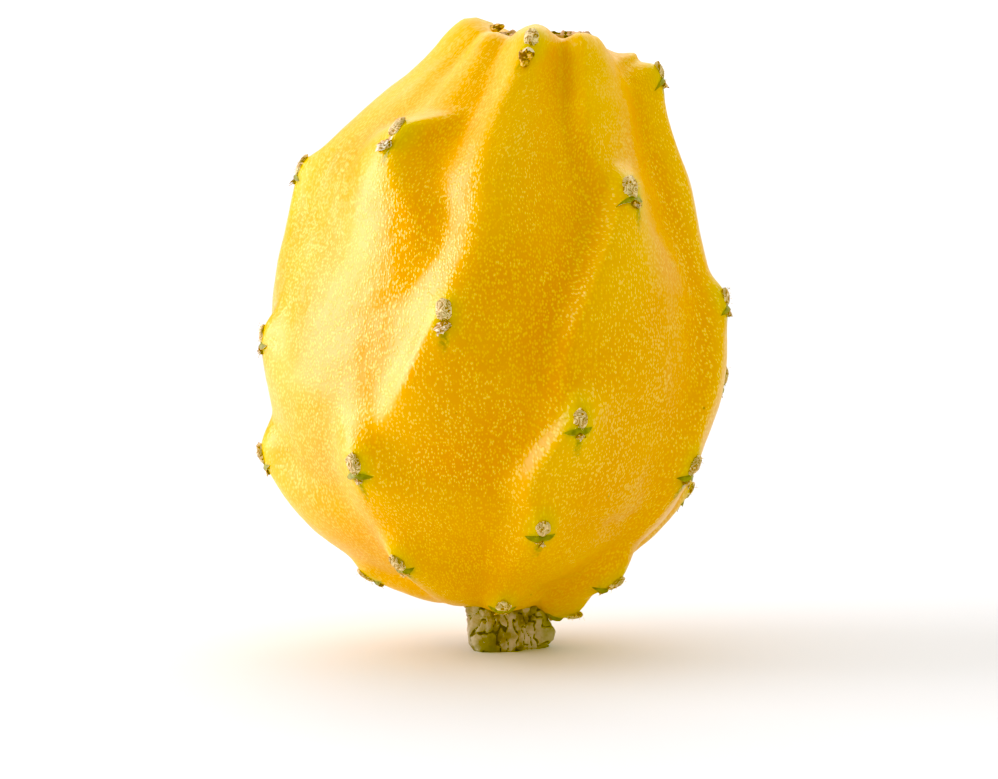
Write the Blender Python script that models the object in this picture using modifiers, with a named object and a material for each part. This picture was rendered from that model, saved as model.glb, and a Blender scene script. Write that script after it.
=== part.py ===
"""A yellow dragon fruit, whole and ripe, standing on the cut end of its stem.

The fruit is one grown solid: an egg-shaped body drawn into eight loose ribs of tubercles, with a
woolly areole cushion and a pointed bract lip on each tubercle. Two other pieces belong to it: the
woody stub of the three-ribbed stem under it, and the dried scar of the flower on top.

Metres, +Z up. The origin is the middle of the stem's cut end, on the surface that the fruit stands
on. The photographed side faces -Y, and azimuths are measured from there towards +X.
"""

import math

import bmesh
import bpy
import numpy as np
from mathutils import Matrix, Vector

MM = 0.001

# Body: the outline that the valleys between the ribs follow, as (radius, height)
BODY_OUTLINE = np.array([
    (0.0, 9.6), (5.0, 9.8), (10.0, 11.2), (15.0, 13.8), (20.5, 17.6), (26.0, 22.8), (30.2, 29.5),
    (32.4, 37.5), (33.2, 46.5), (31.3, 57.0), (28.0, 67.0), (24.1, 76.0), (18.3, 84.0), (13.3, 90.0),
    (10.6, 93.6), (9.0, 95.0), (8.1, 95.3), (7.3, 95.0), (6.2, 94.8), (0.0, 94.8),
]) * MM
BODY_SEGMENTS = 76
BODY_RINGS = 46
SPLINE_STEPS = 24
MERIDIAN_POINTS = 600
SMOOTH_BELOW = math.radians(50)

# Centre line: it leans from the stem to the flower scar
AXIS_AT_STEM = -2.1 * MM
AXIS_LEAN = 8.1 * MM
LEAN_FROM = 74.0 * MM
LEAN_TO = 97.0 * MM

# Areoles: a 3/8 spiral, numbered downwards from the first that is clear of the flower scar
DIVERGENCE = math.radians(136.0)
FIRST_AZIMUTH = math.radians(-9.8)
RIM_AREOLES = 7
LAST_AREOLE = 31
RIBS = 8
RIM_HEIGHT = 94.8 * MM
LOWEST_HEIGHT = 11.0 * MM
HIGHEST_HEIGHT = 93.5 * MM
SPIRAL_COUNT = 33
SPIRAL_POWER = 1.7
BARE_RIDGES = (-7, -6, -5, -4, -3)

# Where the photographed side departs from that rule: number to (degrees round, millimetres up,
# millimetres of further relief)
DEPARTURES = {
    -6: (4, -3.0, 0.2), -4: (0, -1.0, -2.0), -3: (-6, -0.5, 1.0), -2: (9, 0.1, 1.6), -1: (0, -2.5, -3.0),
    0: (3, 0.5, -1.5), 2: (7, 1.8, 0.8), 3: (20, -0.6, -0.2), 5: (13, -0.9, 1.7), 6: (10, 4.5, 0.8),
    8: (6, -6.2, 0), 10: (9, -0.3, 1.3), 11: (-17, -2.4, -0.8), 13: (-2, -4.6, 1.3), 15: (-8, 2.4, 0.4),
    16: (-10, -3.5, 0), 18: (2, -0.4, -0.9), 19: (-14, 2.4, 1.2), 23: (0, 4.5, 0.2), 26: (14, -1.2, 0.6),
    31: (-16, -0.3, 1.5),
}

# How single ribs depart from the rest: number to (degrees they bow round halfway to the next areole,
# share of the usual width of the left flank, the same of the right flank, how much faster they fade,
# degrees that the crest passes beside its areole)
PLAIN_RIB = (0, 1, 1, 1, 0)
BENDS = {
    -5: (0, 1, 0.6, 1.35, 0), -3: (-1, 0.7, 1, 1, -3), 0: (9, 1.3, 0.65, 1, 0), 2: (0, 1, 1, 1.15, 0),
    3: (36, 2.8, 0.6, 2.6, 0), 5: (-4, 0.65, 1.4, 1.3, -2.5), 8: (3, 0.9, 1, 1.6, 0),
    13: (-5, 0.6, 1.3, 1.2, -0.5), 16: (0, 1.5, 1, 1.3, 0),
}

# Tubercles: relief of a ridge above the valleys, and how it widens and fades down its rib.
# Every ridge leans: its left flank is narrow and its right flank is wide. Its crest leads on above
# its areole for a share of its length.
RELIEF_RIM = 3.8 * MM
RELIEF_TOP = 6.0 * MM
RELIEF_MIDDLE = 3.6 * MM
RELIEF_BOTTOM = 4.0 * MM
TOP_FROM = 66.0 * MM
TOP_TO = 90.0 * MM
BOTTOM_FROM = 26.0 * MM
BOTTOM_TO = 12.0 * MM
LEFT_TIP_WIDTH = 3.2 * MM
LEFT_FOOT_WIDTH = 4.0 * MM
RIGHT_TIP_WIDTH = 5.0 * MM
RIGHT_FOOT_WIDTH = 12.0 * MM
CREST_ROUNDING = 0.25
CROSS_POWER = 1.5
BOW_POWER = 1.4
SHORTEST_RIDGE = 12.0 * MM
HEAD = 0.35
RIM_FADE = 0.6
FADE = 0.75
FADE_POWER = 2.0
TAIL_ENDS = 1.45
TAIL = 0.45
STEP_ABOVE = 6.2 * MM
RIM_STEP_ABOVE = 1.9 * MM
RIDGE_BLEND = 0.45 * MM
NUB_RELIEF = 0.9 * MM
NUB_WIDTH = 3.2 * MM
NUB_LENGTH = 4.6 * MM
NUB_POWER = 1.5
SMOOTH_WITHIN = 3.5 * MM
RIBBED_BEYOND = 9.0 * MM

# Areole cushion, and the bract lip under it
CUSHION_HALF = Vector((1.6, 2.6, 1.6)) * MM
CUSHION_SINK = 0.6 * MM
CUSHION_SEGMENTS = 8
CUSHION_RINGS = 4
LIP_HALF = Vector((2.5, 0.8, 1.4)) * MM
LIP_SIDES = 6
LIP_POINT = 0.1
LIP_BELOW = 3.9 * MM
LIP_LOWEST = 7.5 * MM
LIP_TILT = math.radians(10)
LIP_SINK = 0.5 * MM
FRAME_STEP = 1.2 * MM
FRAME_REACH = 3.0 * FRAME_STEP
SMALLEST_RADIUS = 2.0 * MM

# Stem stub: (radius, height) up a piece of three-ribbed stem
STUB_OUTLINE = [(5.7, 0.0), (6.5, 1.1), (6.3, 3.2), (5.6, 5.6), (6.0, 8.2), (6.2, 11.4)]
STUB_SIDES = 36
STUB_RIB_SHARE = 0.17
STUB_KNOT_SHARE = 0.06
STUB_TWIST = math.radians(22) / (8 * MM)
STUB_RIBS = 3
STUB_KNOTS = 5
KNOTS_FROM = 1.1

# Flower scar: (radius, height) of the dished, corky disc
SCAR_OUTLINE = [
    (0.0, 97.3), (1.0, 97.2), (1.7, 96.5), (4.4, 96.4), (6.2, 97.1), (6.9, 97.9), (7.5, 97.8),
    (7.7, 96.8), (7.4, 95.4), (0.0, 95.4),
]
SCAR_SIDES = 40
SCAR_MERGE = 0.01 * MM

SEAT_GAP = 0.3 * MM
CUTTER_OVERRUN = 9.0 * MM


def outline_spline(points, count):
    """Points evenly spaced along a Catmull-Rom curve through an outline, and their arc lengths."""
    ends = [2 * points[0] - points[1], *points, 2 * points[-1] - points[-2]]
    steps = np.linspace(0, 1, SPLINE_STEPS, endpoint=False)[:, None]
    dense = []
    for a, b, c, d in zip(ends, ends[1:], ends[2:], ends[3:]):
        dense.append(0.5 * (2 * b + (c - a) * steps + (2 * a - 5 * b + 4 * c - d) * steps**2
                            + (3 * b - a - 3 * c + d) * steps**3))
    dense = np.vstack([*dense, points[-1:]])
    dense[:, 0] = np.maximum(dense[:, 0], 0.0)
    arcs = np.concatenate([[0], np.cumsum(np.linalg.norm(np.diff(dense, axis=0), axis=1))])
    even = np.linspace(0, arcs[-1], count)
    return np.stack([np.interp(even, arcs, dense[:, 0]), np.interp(even, arcs, dense[:, 1])], 1), even


MERIDIAN, ARCS = outline_spline(BODY_OUTLINE, MERIDIAN_POINTS)
TANGENTS = np.gradient(MERIDIAN, ARCS, axis=0)
TANGENTS /= np.linalg.norm(TANGENTS, axis=1)[:, None]


def smooth(t):
    """A smooth step from 0 to 1."""
    t = np.clip(t, 0, 1)
    return t * t * (3 - 2 * t)


def arc_at_height(height):
    """Arc length along the meridian at which it reaches a height, below the flower scar's rim."""
    rising = MERIDIAN[:, 1].argmax() + 1
    return float(np.interp(height, MERIDIAN[:rising, 1], ARCS[:rising]))


def areole_places():
    """{number: (azimuth, arc length)} of every areole, from the spiral and the departures from it."""
    places = {}
    for number in range(-RIM_AREOLES, LAST_AREOLE + 1):
        share = max(0.0, 1 - max(number, 0) / SPIRAL_COUNT)
        height = LOWEST_HEIGHT + (HIGHEST_HEIGHT - LOWEST_HEIGHT) * share**SPIRAL_POWER
        if number < 0:
            height = RIM_HEIGHT
        turn, rise, _ = DEPARTURES.get(number, (0, 0, 0))
        azimuth = FIRST_AZIMUTH - number * DIVERGENCE + math.radians(turn)
        azimuth = math.remainder(azimuth, 2 * math.pi)
        places[number] = (azimuth, arc_at_height(height + rise * MM))
    return places


AREOLES = areole_places()


def ridge_relief(number):
    """How far an areole's ridge stands out of the valleys."""
    height = float(np.interp(AREOLES[number][1], ARCS, MERIDIAN[:, 1]))
    upper = smooth((height - TOP_FROM) / (TOP_TO - TOP_FROM))
    lower = smooth((height - BOTTOM_FROM) / (BOTTOM_TO - BOTTOM_FROM))
    ridge = RELIEF_MIDDLE + (RELIEF_TOP - RELIEF_MIDDLE) * upper + (RELIEF_BOTTOM - RELIEF_MIDDLE) * lower
    if number < 0:
        ridge = RELIEF_RIM
    return ridge + DEPARTURES.get(number, (0, 0, 0))[2] * MM


def relief(azimuth, arc):
    """Relief at points of the body: a smooth union of one leaning ridge per areole, and its nub."""
    radius = np.interp(arc, ARCS, MERIDIAN[:, 0])
    ridges = np.zeros_like(azimuth)
    nubs = np.zeros_like(azimuth)
    for number, (own_azimuth, own_arc) in AREOLES.items():
        next_azimuth, next_arc = AREOLES.get(number + RIBS, (own_azimuth, 0.0))
        length = max(own_arc - next_arc, SHORTEST_RIDGE)
        drift = math.remainder(next_azimuth - own_azimuth, 2 * math.pi)
        below = (own_arc - arc) / length
        reach = np.clip(below, 0, 1)
        bow, left_share, right_share, haste, beside = BENDS.get(number, PLAIN_RIB)
        bowed = math.radians(beside) + math.radians(bow) * np.sin(math.pi * reach**BOW_POWER)
        crest = own_azimuth + drift * np.clip(below, -HEAD, 1) + bowed
        across = radius * (np.mod(azimuth - crest + math.pi, 2 * math.pi) - math.pi)
        left = left_share * (LEFT_TIP_WIDTH + (LEFT_FOOT_WIDTH - LEFT_TIP_WIDTH) * reach)
        right = right_share * (RIGHT_TIP_WIDTH + (RIGHT_FOOT_WIDTH - RIGHT_TIP_WIDTH) * smooth(2 * reach))
        side = np.hypot(across / np.where(across < 0, left, right), CREST_ROUNDING) - CREST_ROUNDING
        fade = haste * (RIM_FADE if number <= 0 else FADE)
        step_above = RIM_STEP_ABOVE if number < 0 else STEP_ABOVE
        down = np.exp(-np.abs(fade * below)**FADE_POWER) * smooth((TAIL_ENDS - below) / TAIL)
        along = np.where(below > 0, down, np.exp(-((arc - own_arc) / step_above)**2))
        height = ridge_relief(number) * along * np.exp(-side**CROSS_POWER)
        ridges += np.exp(height / RIDGE_BLEND) - 1
        if number not in BARE_RIDGES:
            aside = radius * (np.mod(azimuth - own_azimuth + math.pi, 2 * math.pi) - math.pi)
            nubs += np.exp(-np.hypot(aside / NUB_WIDTH, (arc - own_arc) / NUB_LENGTH)**NUB_POWER)
    clear_of_ends = smooth((radius - SMOOTH_WITHIN) / (RIBBED_BEYOND - SMOOTH_WITHIN))
    return (RIDGE_BLEND * np.log1p(ridges) + NUB_RELIEF * nubs) * clear_of_ends


def body_surface(azimuth, arc):
    """Points on the fruit's skin, for arrays of azimuth and arc length from the stem's end."""
    azimuth, arc = np.asarray(azimuth, float), np.asarray(arc, float)
    radius = np.interp(arc, ARCS, MERIDIAN[:, 0])
    height = np.interp(arc, ARCS, MERIDIAN[:, 1])
    out = np.interp(arc, ARCS, TANGENTS[:, 1])
    up = -np.interp(arc, ARCS, TANGENTS[:, 0])
    stand = relief(azimuth, arc)
    radius = radius + stand * out
    centre = AXIS_AT_STEM + AXIS_LEAN * smooth((height - LEAN_FROM) / (LEAN_TO - LEAN_FROM))
    height = height + stand * up
    return np.stack([centre + radius * np.sin(azimuth), -radius * np.cos(azimuth), height], -1)


def skin_frame(azimuth, arc):
    """Matrix of a place on the skin: X to the right, Y up along the rib, Z out of the skin."""
    turn = FRAME_STEP / max(float(np.interp(arc, ARCS, MERIDIAN[:, 0])), SMALLEST_RADIUS)
    place = Vector(body_surface(azimuth, arc))
    across = Vector(body_surface(azimuth + turn, arc) - body_surface(azimuth - turn, arc))
    along = Vector(body_surface(azimuth, arc + FRAME_STEP) - body_surface(azimuth, arc - FRAME_REACH))
    normal = across.cross(along).normalized()
    along = normal.cross(across).normalized()
    side = along.cross(normal)
    return Matrix.Translation(place) @ Matrix((side, along, normal)).transposed().to_4x4()


def material(name, colour, roughness):
    """A Principled material with no metal in it."""
    made = bpy.data.materials.new(name)
    made.use_nodes = True
    shader = made.node_tree.nodes["Principled BSDF"]
    shader.inputs["Base Color"].default_value = (*colour, 1.0)
    shader.inputs["Roughness"].default_value = roughness
    shader.inputs["Metallic"].default_value = 0.0
    made.diffuse_color = (*colour, 1.0)
    return made


def new_object(name, bm, collection, surface=None):
    """An object in a collection from a bmesh, shaded smooth where its faces meet gently."""
    mesh = bpy.data.meshes.new(name)
    bm.to_mesh(mesh)
    bm.free()
    mesh.shade_smooth()
    mesh.set_sharp_from_angle(angle=SMOOTH_BELOW)
    if surface:
        mesh.materials.append(surface)
    made = bpy.data.objects.new(name, mesh)
    collection.objects.link(made)
    return made


def make_body(collection, surface):
    """The fruit's skin: a UV sphere whose vertices move onto the ribbed body."""
    bm = bmesh.new()
    bmesh.ops.create_uvsphere(bm, u_segments=BODY_SEGMENTS, v_segments=BODY_RINGS, radius=1.0)
    sphere = np.array([v.co for v in bm.verts])
    azimuth = np.arctan2(sphere[:, 0], -sphere[:, 1])
    arc = ARCS[-1] * (1 - np.arccos(np.clip(sphere[:, 2], -1, 1)) / math.pi)
    for vertex, place in zip(bm.verts, body_surface(azimuth, arc)):
        vertex.co = place
    bmesh.ops.recalc_face_normals(bm, faces=bm.faces[:])
    return new_object("fruit", bm, collection, surface)


def make_areoles(collection):
    """A cushion and a bract lip for each areole, sunk into the skin at its place."""
    for number, (azimuth, arc) in AREOLES.items():
        if number in BARE_RIDGES:
            continue
        frame = skin_frame(azimuth, arc)
        bm = bmesh.new()
        bmesh.ops.create_uvsphere(
            bm, u_segments=CUSHION_SEGMENTS, v_segments=CUSHION_RINGS, radius=1.0,
            matrix=frame @ Matrix.Translation((0, 0, -CUSHION_SINK)) @ Matrix.Diagonal((*CUSHION_HALF, 1.0)))
        new_object(f"cushion {number}", bm, collection)
        frame = skin_frame(azimuth, max(arc - LIP_BELOW, LIP_LOWEST))
        lean = Matrix.Translation((0, 0, -LIP_SINK)) @ Matrix.Rotation(LIP_TILT, 4, "X")
        bm = bmesh.new()
        bmesh.ops.create_cone(
            bm, cap_ends=True, segments=LIP_SIDES, radius1=1.0, radius2=LIP_POINT, depth=2.0,
            matrix=frame @ lean @ Matrix.Diagonal((*LIP_HALF, 1.0)))
        new_object(f"lip {number}", bm, collection)


def loft(outline, sides, radius_share, grow=0.0):
    """A closed bmesh of rings up an outline; radius_share(angle, height) shapes each ring."""
    bm = bmesh.new()
    edges = bmesh.ops.create_circle(bm, cap_ends=False, segments=sides, radius=1.0)["verts"]
    ring = sorted(edges, key=lambda v: math.atan2(v.co.y, v.co.x))
    for level, (radius, height) in enumerate(outline):
        if level:
            loop = [bm.edges.get((ring[i - 1], ring[i])) for i in range(sides)]
            made = bmesh.ops.extrude_edge_only(bm, edges=loop)["geom"]
            ring = sorted((g for g in made if isinstance(g, bmesh.types.BMVert)),
                          key=lambda v: math.atan2(v.co.y, v.co.x))
        for index, vertex in enumerate(ring):
            angle = 2 * math.pi * index / sides - math.pi
            reach = radius * MM * radius_share(angle, height * MM) + grow
            vertex.co = (reach * math.cos(angle), reach * math.sin(angle), height * MM)
    bmesh.ops.holes_fill(bm, edges=[e for e in bm.edges if e.is_boundary], sides=sides)
    bmesh.ops.recalc_face_normals(bm, faces=bm.faces[:])
    return bm


def stub_share(angle, height):
    """The three ribs of the stem, twisting a little upwards, and the knots between them."""
    turned = angle + STUB_TWIST * height
    knots = math.sin(STUB_KNOTS * turned + KNOTS_FROM)
    return 1 + STUB_RIB_SHARE * math.cos(STUB_RIBS * turned) + STUB_KNOT_SHARE * knots


def make_stub(collection, surface):
    """The stem stub, with its cut end flat on the surface below."""
    return new_object("stem_stub", loft(STUB_OUTLINE, STUB_SIDES, stub_share), collection, surface)


def make_scar(collection, surface):
    """The flower scar, a profile turned about the leaning axis."""
    mesh = bpy.data.meshes.new("flower_scar")
    points = [(r * MM, 0.0, z * MM) for r, z in SCAR_OUTLINE]
    mesh.from_pydata(points, [(i, i + 1) for i in range(len(points) - 1)], [])
    mesh.materials.append(surface)
    scar = bpy.data.objects.new("flower_scar", mesh)
    scar.location = (AXIS_AT_STEM + AXIS_LEAN, 0, 0)
    collection.objects.link(scar)
    turned = scar.modifiers.new("turned", "SCREW")
    turned.steps = turned.render_steps = SCAR_SIDES
    turned.use_merge_vertices = True
    turned.merge_threshold = SCAR_MERGE
    turned.use_smooth_shade = False
    return scar


def make_seats(collection):
    """Cutters that leave a gap round the stub and round the flower scar."""
    below = [(STUB_OUTLINE[0][0], -CUTTER_OVERRUN / MM)]
    above = [(STUB_OUTLINE[-1][0], STUB_OUTLINE[-1][1] + SEAT_GAP / MM)]
    stub = loft(below + STUB_OUTLINE[:-1] + above, STUB_SIDES, stub_share, grow=SEAT_GAP)
    new_object("stub seat", stub, collection)
    widest = max(r for r, _ in SCAR_OUTLINE) * MM + SEAT_GAP
    floor = min(z for _, z in SCAR_OUTLINE) * MM - SEAT_GAP
    bm = bmesh.new()
    bmesh.ops.create_cone(
        bm, cap_ends=True, segments=SCAR_SIDES, radius1=widest, radius2=widest, depth=CUTTER_OVERRUN,
        matrix=Matrix.Translation((AXIS_AT_STEM + AXIS_LEAN, 0, floor + CUTTER_OVERRUN / 2)))
    new_object("scar seat", bm, collection)


def apply_boolean(target, operation, collection):
    """Joins a collection's objects to the target, or cuts them from it, and removes them."""
    bpy.context.view_layer.update()
    step = target.modifiers.new(operation.lower(), "BOOLEAN")
    step.operation = operation
    step.operand_type = "COLLECTION"
    step.collection = collection
    step.solver = "EXACT"
    evaluated = target.evaluated_get(bpy.context.evaluated_depsgraph_get())
    mesh = bpy.data.meshes.new_from_object(evaluated)
    target.modifiers.clear()
    old, target.data = target.data, mesh
    bpy.data.meshes.remove(old)
    for used in list(collection.objects):
        bpy.data.objects.remove(used)
    bpy.data.collections.remove(collection)


def main():
    """Builds the three pieces."""
    for old in list(bpy.data.objects):
        bpy.data.objects.remove(old)
    scene = bpy.context.scene
    parts = bpy.data.collections.new("yellow dragon fruit")
    repeats = bpy.data.collections.new("areoles")
    seats = bpy.data.collections.new("seats")
    for made in (parts, repeats, seats):
        scene.collection.children.link(made)
    fruit = make_body(parts, material("yellow skin", (0.86, 0.56, 0.02), 0.38))
    make_areoles(repeats)
    apply_boolean(fruit, "UNION", repeats)
    make_seats(seats)
    apply_boolean(fruit, "DIFFERENCE", seats)
    make_stub(parts, material("woody stem", (0.20, 0.17, 0.08), 0.8))
    make_scar(parts, material("dried flower scar", (0.36, 0.20, 0.09), 0.85))


main()
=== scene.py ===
"""The looks of a yellow dragon fruit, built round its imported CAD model.

The skin repeats the formula of the CAD body with finer faces and relief. Cushions, scales, dried scraps
and hairs are set on it by the same spiral. The stem stub and the flower scar are modelled anew.

Metres, +Z up. The photographed side faces -Y, and azimuths are measured from there towards +X.
"""

import math
import random

import bmesh
import bpy
import numpy as np
from mathutils import Matrix, Vector, noise


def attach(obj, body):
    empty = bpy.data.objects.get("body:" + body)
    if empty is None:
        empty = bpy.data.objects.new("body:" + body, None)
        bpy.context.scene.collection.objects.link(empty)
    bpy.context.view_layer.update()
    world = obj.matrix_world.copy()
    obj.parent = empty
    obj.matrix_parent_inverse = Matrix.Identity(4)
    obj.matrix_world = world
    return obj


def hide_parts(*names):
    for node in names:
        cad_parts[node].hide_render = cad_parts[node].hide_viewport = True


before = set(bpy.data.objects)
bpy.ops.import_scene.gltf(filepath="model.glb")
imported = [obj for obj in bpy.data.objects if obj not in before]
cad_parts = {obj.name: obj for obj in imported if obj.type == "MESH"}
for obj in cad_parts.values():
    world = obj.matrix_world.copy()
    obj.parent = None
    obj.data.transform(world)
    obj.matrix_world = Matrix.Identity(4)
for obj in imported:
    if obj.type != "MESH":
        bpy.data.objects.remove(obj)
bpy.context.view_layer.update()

MM = 0.001

# Body: the outline that the valleys between the ribs follow, as (radius, height)
BODY_OUTLINE = np.array([
    (0.0, 9.6), (5.0, 9.8), (10.0, 11.2), (15.0, 13.8), (20.5, 17.6), (26.0, 22.8), (30.2, 29.5),
    (32.4, 37.5), (33.2, 46.5), (31.3, 57.0), (28.0, 67.0), (24.1, 76.0), (18.3, 84.0), (13.3, 90.0),
    (10.6, 93.6), (9.0, 95.0), (8.1, 95.3), (7.3, 95.0), (6.2, 94.8), (0.0, 94.8),
]) * MM
SKIN_SEGMENTS = 380
SKIN_RINGS = 248

SPLINE_STEPS = 24
MERIDIAN_POINTS = 600

# Centre line: it leans from the stem to the flower scar
AXIS_AT_STEM = -2.1 * MM
AXIS_LEAN = 8.1 * MM
LEANING = (74.0 * MM, 97.0 * MM)

# Areoles: a 3/8 spiral, numbered downwards from the first that is clear of the flower scar
DIVERGENCE = math.radians(136.0)
FIRST_AZIMUTH = math.radians(-9.8)
RIM_AREOLES = 7
LAST_AREOLE = 31
RIBS = 8
RIM_HEIGHT = 94.8 * MM
LOWEST_HEIGHT = 11.0 * MM
HIGHEST_HEIGHT = 93.5 * MM
SPIRAL_COUNT = 33
SPIRAL_POWER = 1.7
BARE_RIDGES = (-7, -6, -5, -4, -3)

# Where the photographed side departs from that rule: number to (degrees round, millimetres up,
# millimetres of further relief)
DEPARTURES = {
    -6: (4, -3.0, 0.2), -4: (0, -1.0, -2.0), -3: (-6, -0.5, 1.0), -2: (9, 0.1, 1.6), -1: (0, -2.5, -3.0),
    0: (3, 0.5, -1.5), 2: (7, 1.8, 0.8), 3: (20, -0.6, -0.2), 5: (13, -0.9, 1.7), 6: (10, 4.5, 0.8),
    8: (6, -6.2, 0), 10: (9, -0.3, 1.3), 11: (-17, -2.4, -0.8), 13: (-2, -4.6, 1.3), 15: (-8, 2.4, 0.4),
    16: (-10, -3.5, 0), 18: (2, -0.4, -0.9), 19: (-14, 2.4, 1.2), 23: (0, 4.5, 0.2), 26: (14, -1.2, 0.6),
    31: (-16, -0.3, 1.5),
}

# How single ribs depart from the rest: number to (degrees they bow round halfway to the next areole,
# share of the usual width of the left flank, the same of the right flank, how much faster they fade,
# degrees that the crest passes beside its areole)
BENDS = {
    -5: (0, 1, 0.6, 1.35, 0), -3: (-1, 0.7, 1, 1, -3), 0: (9, 1.3, 0.65, 1, 0), 2: (0, 1, 1, 1.15, 0),
    3: (36, 2.8, 0.6, 2.6, 0), 5: (-4, 0.65, 1.4, 1.3, -2.5), 8: (3, 0.9, 1, 1.6, 0),
    13: (-5, 0.6, 1.3, 1.2, -0.5), 16: (0, 1.5, 1, 1.3, 0),
}
PLAIN_RIB = (0, 1, 1, 1, 0)

# Tubercles: relief of a ridge above the valleys, and how it widens and fades down its rib.
# Every ridge leans: its left flank is narrow and its right flank is wide.
RELIEF_RIM = 3.8 * MM
RELIEF_TOP = 6.0 * MM
RELIEF_MIDDLE = 3.6 * MM
RELIEF_BOTTOM = 4.0 * MM
TOP_RISE = (66.0 * MM, 90.0 * MM)
BOTTOM_RISE = (26.0 * MM, 12.0 * MM)
LEFT_TIP_WIDTH = 3.2 * MM
LEFT_FOOT_WIDTH = 4.0 * MM
RIGHT_TIP_WIDTH = 5.0 * MM
RIGHT_FOOT_WIDTH = 12.0 * MM
CREST_ROUNDING = 0.25
CROSS_POWER = 1.5
BOW_POWER = 1.4
SHORTEST_RIDGE = 12.0 * MM
HEAD = 0.35
RIM_FADE = 0.6
FADE = 0.75
FADE_POWER = 2.0
TAIL_ENDS = 1.45
TAIL = 0.45
STEP_ABOVE = 6.2 * MM
RIM_STEP_ABOVE = 1.9 * MM
RIDGE_BLEND = 0.45 * MM
NUB_RELIEF = 0.9 * MM
NUB_WIDTH = 3.2 * MM
NUB_LENGTH = 4.6 * MM
NUB_POWER = 1.5
RIBBED = (3.5 * MM, 9.0 * MM)

# Finer relief of the skin. The wrinkles run lengthwise, because their noise is read on a ring with the
# arc shortened, and they show on the shoulder alone.
LUMP_RELIEF = 0.35 * MM
LUMP_SIZE = 11.0 * MM
LUMP_SEED = 3.0
DIMPLE_RELIEF = 0.06 * MM
DIMPLE_SIZE = 3.0 * MM
DIMPLE_SEED = 11.0
WRINKLE_RELIEF = 0.16 * MM
WRINKLE_SIZE = 5.0 * MM
WRINKLE_SEED = 23.0
WRINKLE_RING = 30.0 * MM
WRINKLE_STRETCH = 0.12
WRINKLED = (58.0 * MM, 88.0 * MM)
SEED_WAY = Vector((1.0, 0.37, -0.61))

# What the skin's material reads: the relief that counts as valley, where shade is painted, and as crest,
# where light is painted, the ring on which the speckles are laid out, the border between the
# neighbourhoods of two areoles, and a distance that is beyond any on the fruit
VALLEY_UNDER = 1.3 * MM
CREST_RISE = (2.6 * MM, 4.8 * MM)
SPECK_RING = 33.0 * MM
BORDER = 1.5 * MM
FAR = 1.0

# Places on the skin: the steps over which its slope is measured, and the lowest arc for a piece
FRAME_STEP = 1.2 * MM
FRAME_STEPS_DOWN = 3
FRAME_LEAST_RADIUS = 2.0 * MM
NORMAL_STEP = 0.4 * MM
LOWEST_ARC = 4.0 * MM

# Crumpled blobs: a seed's way through the noise, how the folds swirl, how narrow they are, and how
# uneven the blob is
CRUMPLE_WAY = (7.31, 3.17, 5.71)
SWIRL = 0.35
SWIRL_GRAIN = 1.3
FOLD_NARROWNESS = 4.62
UNEVENNESS = 0.16
UNEVEN_GRAIN = 1.6

# Areole cushions: half sizes, depth in the skin, crumple, and the painted shade round their foot
CUSHION_HALF = Vector((1.28, 1.85, 0.78)) * MM
CUSHION_SINK = 0.22 * MM
CUSHION_UNDERSIDE = 0.5 * MM
CUSHION_SEGMENTS = 52
CUSHION_RINGS = 36
CUSHION_DEPTH = 0.16
CUSHION_GRAIN = 3.0
CUSHION_SEED = 9.5
CUSHION_DRAWS = 100
CUSHION_SWING = 0.15
FOOT_SHADE = 0.8
FOOT_RISE = (0.4, 0.1)

# Their size and wear, and the odd ones: sizes, worn ones, and those aside of the rule's place as number
# to (millimetres to the right, millimetres up)
USUAL_CUSHION = (0.9, 1.05)
CUSHION_SIZES = {-2: 0.6, 2: 0.85, 3: 1.05, 5: 1.05, 8: 1.0, 10: 0.85, 11: 0.85, 13: 0.9}
SHIFTED = {-2: (-3.0, 0.0), 3: (-1.2, 0.3), 5: (-0.8, 0.0)}
USUAL_WEAR = (0.0, 0.2)
WORN = (13, 10, 18, 21)
WEAR_RISE = (0.4615, 0.8462)

# Scales: rows from the root over the lower edge to the underside, as (share of the way down, share of
# the way out, millimetres further out, how much of an edge it is)
SCALE_ROWS = [
    (0.0, 0.0, -0.25, 0.0), (0.15, 0.15, 0.0, 0.0), (0.45, 0.5, 0.0, 0.0), (0.87, 0.9, 0.0, 0.1),
    (0.97, 1.0, 0.0, 0.8), (1.0, 0.95, -0.04, 1.0), (0.97, 0.8, -0.12, 0.8), (0.8, 0.2, -0.2, 0.0),
    (0.7, 0.0, -0.4, 0.0),
]
SCALE_STATIONS = 27
SCALE_DRAWS = 200

# A scale's outline: half width, where its top and foot lie below the areole, how far it stands out,
# millimetres below the areole of its two corners, its wavy foot and the notch in it
SCALE_HALF_WIDTH = 2.7 * MM
SCALE_SPREAD = (0.85, 1.05)
SCALE_TOP = 1.2 * MM
SCALE_FOOT = 2.25 * MM
SCALE_OUT = 0.5 * MM
SCALE_FULLNESS = 2.2
SCALE_BULGE = 0.7
LEFT_CORNER = (1.9, 2.7)
RIGHT_CORNER = (1.3, 2.2)
WAVE_HEIGHT = 0.14 * MM
WAVE_GRAIN = 4
WAVE_SEED = 2.7
WAVE_SLICE = 0.3
NOTCH_DEPTH = 0.5 * MM
NOTCH_WIDTH = 0.22
NOTCH_ASIDE = 0.15

# Areoles without a scale, with a wholly dried one, and with one of another width
SCALELESS = (-2, 3, 8)
DRIED_SCALES = (0,)
SCALE_WIDTHS = {0: 0.5, 5: 1.2}

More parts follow.
